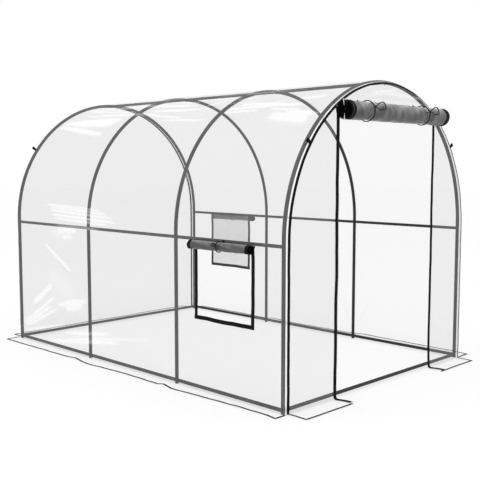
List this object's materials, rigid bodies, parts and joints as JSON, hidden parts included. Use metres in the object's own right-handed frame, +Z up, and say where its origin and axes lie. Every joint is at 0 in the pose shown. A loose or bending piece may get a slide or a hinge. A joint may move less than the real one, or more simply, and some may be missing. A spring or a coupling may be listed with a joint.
{
  "type": "polytunnel greenhouse",
  "caption": "Walk-in polytunnel: a hooped steel tube frame under a clear film cover with a rolled-up zip door, rolled-up side windows and ground skirts.",
  "frame": {"origin": "on the ground at the middle of the tunnel's footprint", "axes": "+X across the tunnel to the right as seen from the door, +Y along it away from the door, +Z up"},
  "size_m": [2.2346, 3.3254, 2.0221],
  "materials": {
    "dark_steel": "dark grey powder-coated steel tube",
    "clear_film": "clear polyethylene film",
    "rolled_film": "many turns of clear polyethylene film",
    "mesh": "fine insect mesh",
    "black_tape": "black polyester tape, webbing, zip and cord"
  },
  "bodies": {
    "root": {"back_panel": "clear_film", "back_seam": "black_tape", "back_skirt": "clear_film", "base_bars": "dark_steel", "door_roll": "rolled_film", "front_left_panel": "clear_film", "front_left_skirt": "clear_film", "front_right_panel": "clear_film", "front_right_skirt": "clear_film", "front_seam": "black_tape", "front_top_panel": "clear_film", "guy_loops": "black_tape", "hoop_1_left_arch": "dark_steel", "hoop_1_legs": "dark_steel", "hoop_1_right_arch": "dark_steel", "hoop_2_left_arch": "dark_steel", "hoop_2_legs": "dark_steel", "hoop_2_right_arch": "dark_steel", "hoop_3_left_arch": "dark_steel", "hoop_3_legs": "dark_steel", "hoop_3_right_arch": "dark_steel", "hoop_4_left_arch": "dark_steel", "hoop_4_legs": "dark_steel", "hoop_4_right_arch": "dark_steel", "left_base_rail": "dark_steel", "left_door_tie": "black_tape", "left_door_zip": "black_tape", "left_side_rail": "dark_steel", "left_skirt": "clear_film", "left_wall_film": "clear_film", "left_window_roll": "rolled_film", "left_window_tie": "black_tape", "left_window_zip": "black_tape", "ridge_rail": "dark_steel", "right_base_rail": "dark_steel", "right_door_tie": "black_tape", "right_door_zip": "black_tape", "right_side_rail": "dark_steel", "right_skirt": "clear_film", "right_wall_film": "clear_film", "right_window_roll": "rolled_film", "right_window_screen": "mesh", "right_window_tie": "black_tape", "right_window_zip": "black_tape", "roof_film": "clear_film"}
  },
  "joints": []
}
